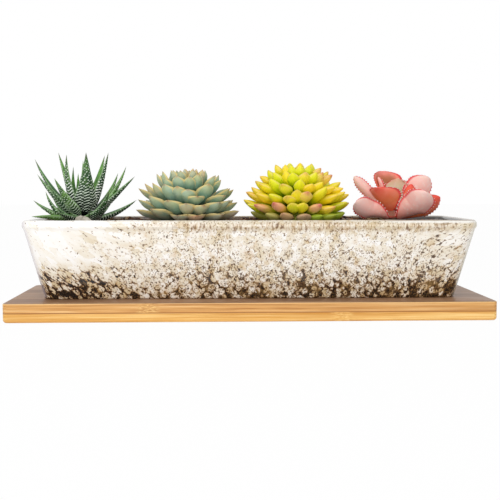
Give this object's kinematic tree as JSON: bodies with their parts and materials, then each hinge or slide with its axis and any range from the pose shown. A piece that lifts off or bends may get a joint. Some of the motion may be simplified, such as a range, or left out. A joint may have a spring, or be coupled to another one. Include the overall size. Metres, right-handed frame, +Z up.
{
  "type": "succulent planter",
  "caption": "Long glazed ceramic trough planter on a flat bamboo saucer, with drain holes and a row of lift-out potted succulents.",
  "frame": {"origin": "middle of the saucer's underside, on the surface that the planter stands on", "axes": "+X along the trough to the right, +Y to the back, +Z up"},
  "size_m": [0.382, 0.124, 0.1328],
  "materials": {
    "bamboo_lower": "oiled bamboo, satin",
    "bamboo_upper": "oiled bamboo, satin",
    "mottled_glaze": "cream and brown mottled glaze, glossy",
    "mesh_plastic": "matt",
    "gravel": "rough",
    "potting_mix": "crumbly, matt",
    "dark_granules": "rough",
    "pale_pebble": "smooth, matt",
    "root_plug": "fibrous, matt",
    "stem": "matt",
    "haworthia_leaf": "satin with raised pale bands",
    "echeveria_leaf": "waxy, matt",
    "sedum_leaf": "satin",
    "coral_leaf": "satin"
  },
  "bodies": {
    "saucer": {"saucer_lower_ply": "bamboo_lower", "saucer_upper_ply": "bamboo_upper"},
    "pot": {"pot_shell": "mottled_glaze", "drain_mesh_1": "mesh_plastic", "drain_mesh_2": "mesh_plastic", "drain_mesh_3": "mesh_plastic", "drainage_gravel": "gravel", "potting_mix": "potting_mix", "top_dressing": "dark_granules", "pebble": "pale_pebble"},
    "haworthia": {"haworthia_root_plug": "root_plug", "haworthia_stem": "stem", "haworthia_outer_leaves": "haworthia_leaf", "haworthia_middle_leaves": "haworthia_leaf", "haworthia_inner_leaves": "haworthia_leaf"},
    "echeveria": {"echeveria_root_plug": "root_plug", "echeveria_stem": "stem", "echeveria_skirt_leaves": "echeveria_leaf", "echeveria_lower_leaves": "echeveria_leaf", "echeveria_middle_leaves": "echeveria_leaf", "echeveria_upper_leaves": "echeveria_leaf", "echeveria_inner_leaves": "echeveria_leaf", "echeveria_heart_leaves": "echeveria_leaf"},
    "sedum": {"sedum_root_plug": "root_plug", "sedum_stem": "stem", "sedum_skirt_leaves": "sedum_leaf", "sedum_low_leaves": "sedum_leaf", "sedum_lower_leaves": "sedum_leaf", "sedum_middle_leaves": "sedum_leaf", "sedum_upper_leaves": "sedum_leaf", "sedum_inner_leaves": "sedum_leaf", "sedum_heart_leaves": "sedum_leaf"},
    "coral": {"coral_root_plug": "root_plug", "coral_stem": "stem", "coral_outer_leaves": "coral_leaf", "coral_middle_leaves": "coral_leaf", "coral_heart_leaves": "coral_leaf"}
  },
  "joints": [
    {"name": "pot_lift", "type": "slide", "parent": "saucer", "child": "pot", "axis": [0, 0, 1], "range_m": [0, 0.1]},
    {"name": "haworthia_lift", "type": "slide", "parent": "pot", "child": "haworthia", "axis": [0, 0, 1], "range_m": [0, 0.08]},
    {"name": "echeveria_lift", "type": "slide", "parent": "pot", "child": "echeveria", "axis": [0, 0, 1], "range_m": [0, 0.08]},
    {"name": "sedum_lift", "type": "slide", "parent": "pot", "child": "sedum", "axis": [0, 0, 1], "range_m": [0, 0.08]},
    {"name": "coral_lift", "type": "slide", "parent": "pot", "child": "coral", "axis": [0, 0, 1], "range_m": [0, 0.08]}
  ]
}
